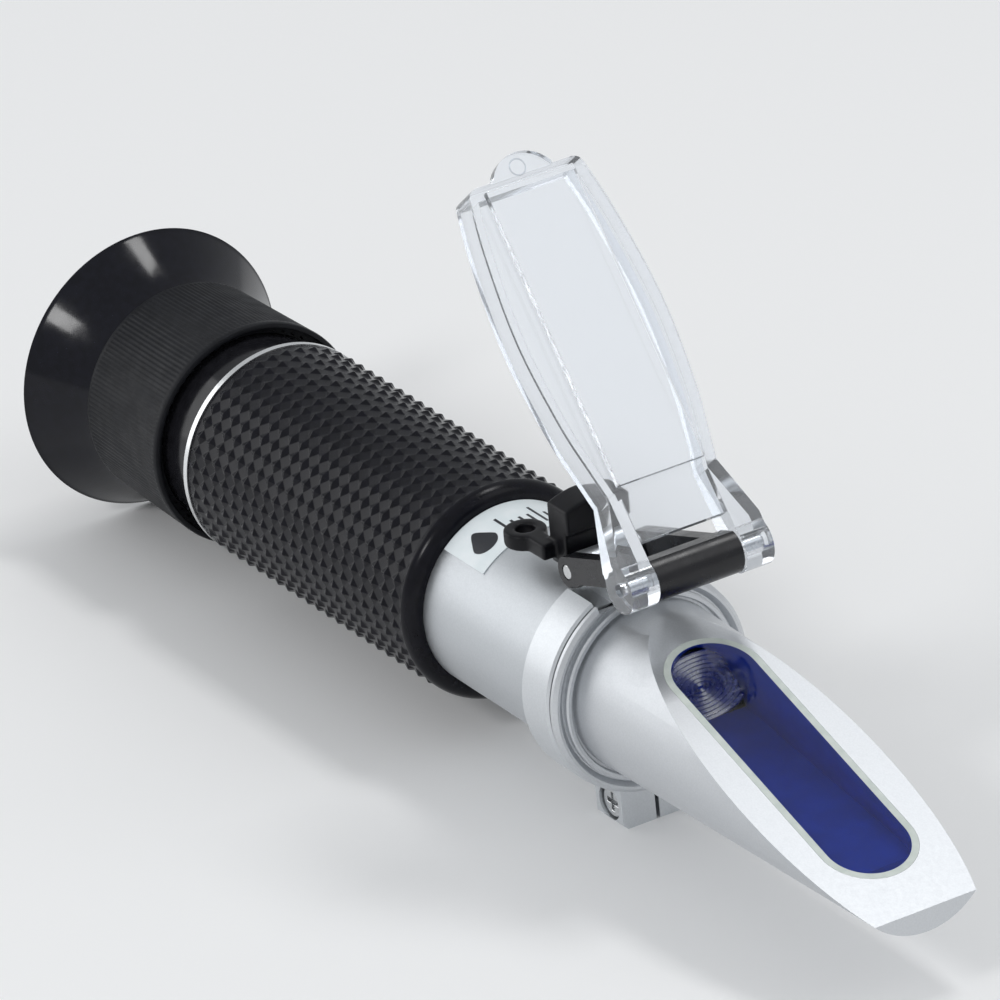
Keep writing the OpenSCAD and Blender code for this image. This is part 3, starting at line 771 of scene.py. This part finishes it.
def add_camera():
    """A long lens at the photograph's viewing angle."""
    right, up, back = camera_axes()
    aim = round_axis(CAMERA_AIM, 0, 0)
    data = bpy.data.cameras.new("camera")
    data.lens = LENS
    data.clip_end = 20
    camera = add_object("camera", data)
    place = aim + (back * CAMERA_DISTANCE + right * CAMERA_SIDE + up * CAMERA_RAISE) * MM
    camera.matrix_world = Matrix.Translation(place) @ Matrix((right, up, back)).transposed().to_4x4()
    bpy.context.scene.camera = camera


def add_softbox(name, direction, distance, size, glow):
    """A rectangular studio light seen in a direction from the middle of the barrel."""
    middle = Vector((0, 0, AXIS_Z))
    toward = Vector(direction).normalized()
    data = bpy.data.lights.new(name, "AREA")
    data.shape = "RECTANGLE"
    data.size, data.size_y = size
    data.energy = glow * math.pi * size[0] * size[1]
    light = add_object(name, data)
    light.location = middle + toward * distance
    light.rotation_euler = toward.to_track_quat("Z", "Y").to_euler()


def add_studio():
    """Pale floor, soft boxes and a pale surround."""
    mesh = bpy.data.meshes.new("floor")
    corners = [(-FLOOR_REACH, -FLOOR_REACH, 0), (FLOOR_REACH, -FLOOR_REACH, 0)]
    corners += [(FLOOR_REACH, FLOOR_REACH, 0), (-FLOOR_REACH, FLOOR_REACH, 0)]
    mesh.from_pydata(corners, [], [(0, 1, 2, 3)])
    floor = add_object("floor", mesh)
    floor_material = new_material("floor_paper", (0.93, 0.93, 0.93), 0.9)
    bump(floor_material, [(noise(floor_material, 1.5, 3), 0.01)])
    paint(floor, floor_material)
    world = bpy.data.worlds.new("surround")
    world.use_nodes = True
    sky = world.node_tree.nodes["Background"]
    sky.inputs["Color"].default_value = (*SKY_COLOUR, 1)
    sky.inputs["Strength"].default_value = SKY_GLOW
    bpy.context.scene.world = world
    for softbox in SOFTBOXES:
        add_softbox(*softbox)
    bpy.context.scene.view_settings.view_transform = "Standard"


# ---- Assembly ----

materials = build_materials()
slot_of = {sub["node"]: sub["material_slot"] for sub in frame["record"]["subparts"]}
for node_name, cad_node in nodes.items():
    paint(cad_node, materials[slot_of[node_name]])

paint(make_eyecup(), materials["eyecup"])
paint(make_focus_ring(), materials["focus_ring"])
paint(make_grip(), materials["grip_rubber"])
# new piece's name, CAD node it stands for, body, width of the rounded edges in mm
EDGED = [
    ("clamp_ring_edged", "clamp_ring", "barrel", 0.3),
    ("housing_edged", "prism_housing", "barrel", 0.26),
    ("bracket_edged", "hinge_bracket", "bracket", 0.22),
    ("plate_edged", "daylight_plate", "plate", 0.35),
    ("clamp_screw_edged", "clamp_screw", "barrel", 0.12),
    ("pivot_pin_edged", "pivot_pin", "barrel", 0.18),
]
CAP_GRAIN = 0.14
CAP_SMOOTHING = 30
for piece_name, node_name, body, width in EDGED:
    slot = slot_of[node_name]
    paint(bevelled(piece_name, node_name, body, width), materials[slot])
cap = moulded("screw_cap_moulded", "screw_cap", "cap", CAP_GRAIN, CAP_SMOOTHING)
paint(cap, materials["cap_rubber"])
paint(make_prism_paint(), materials["blue_backing"])
# A pale copy of the blackened metal: painted light on the light baffle and on the steps that stand in for its
# view, so their ridges read as lit
painted_lit_bore = dark_metal("bore_painted_light", (0.7, 0.71, 0.73), 0.18, 0.3)
paint(nodes["light_baffle"], painted_lit_bore)
paint(make_baffle_steps(), painted_lit_bore)
ink = new_material("label_ink", (0.012, 0.014, 0.02), 0.35)
vary_roughness(ink, noise(ink, 0.4, 3), 0.3, 0.42)
make_label_marks(ink)
make_tab_mark(materials["clear_plastic"])
add_camera()
add_studio()
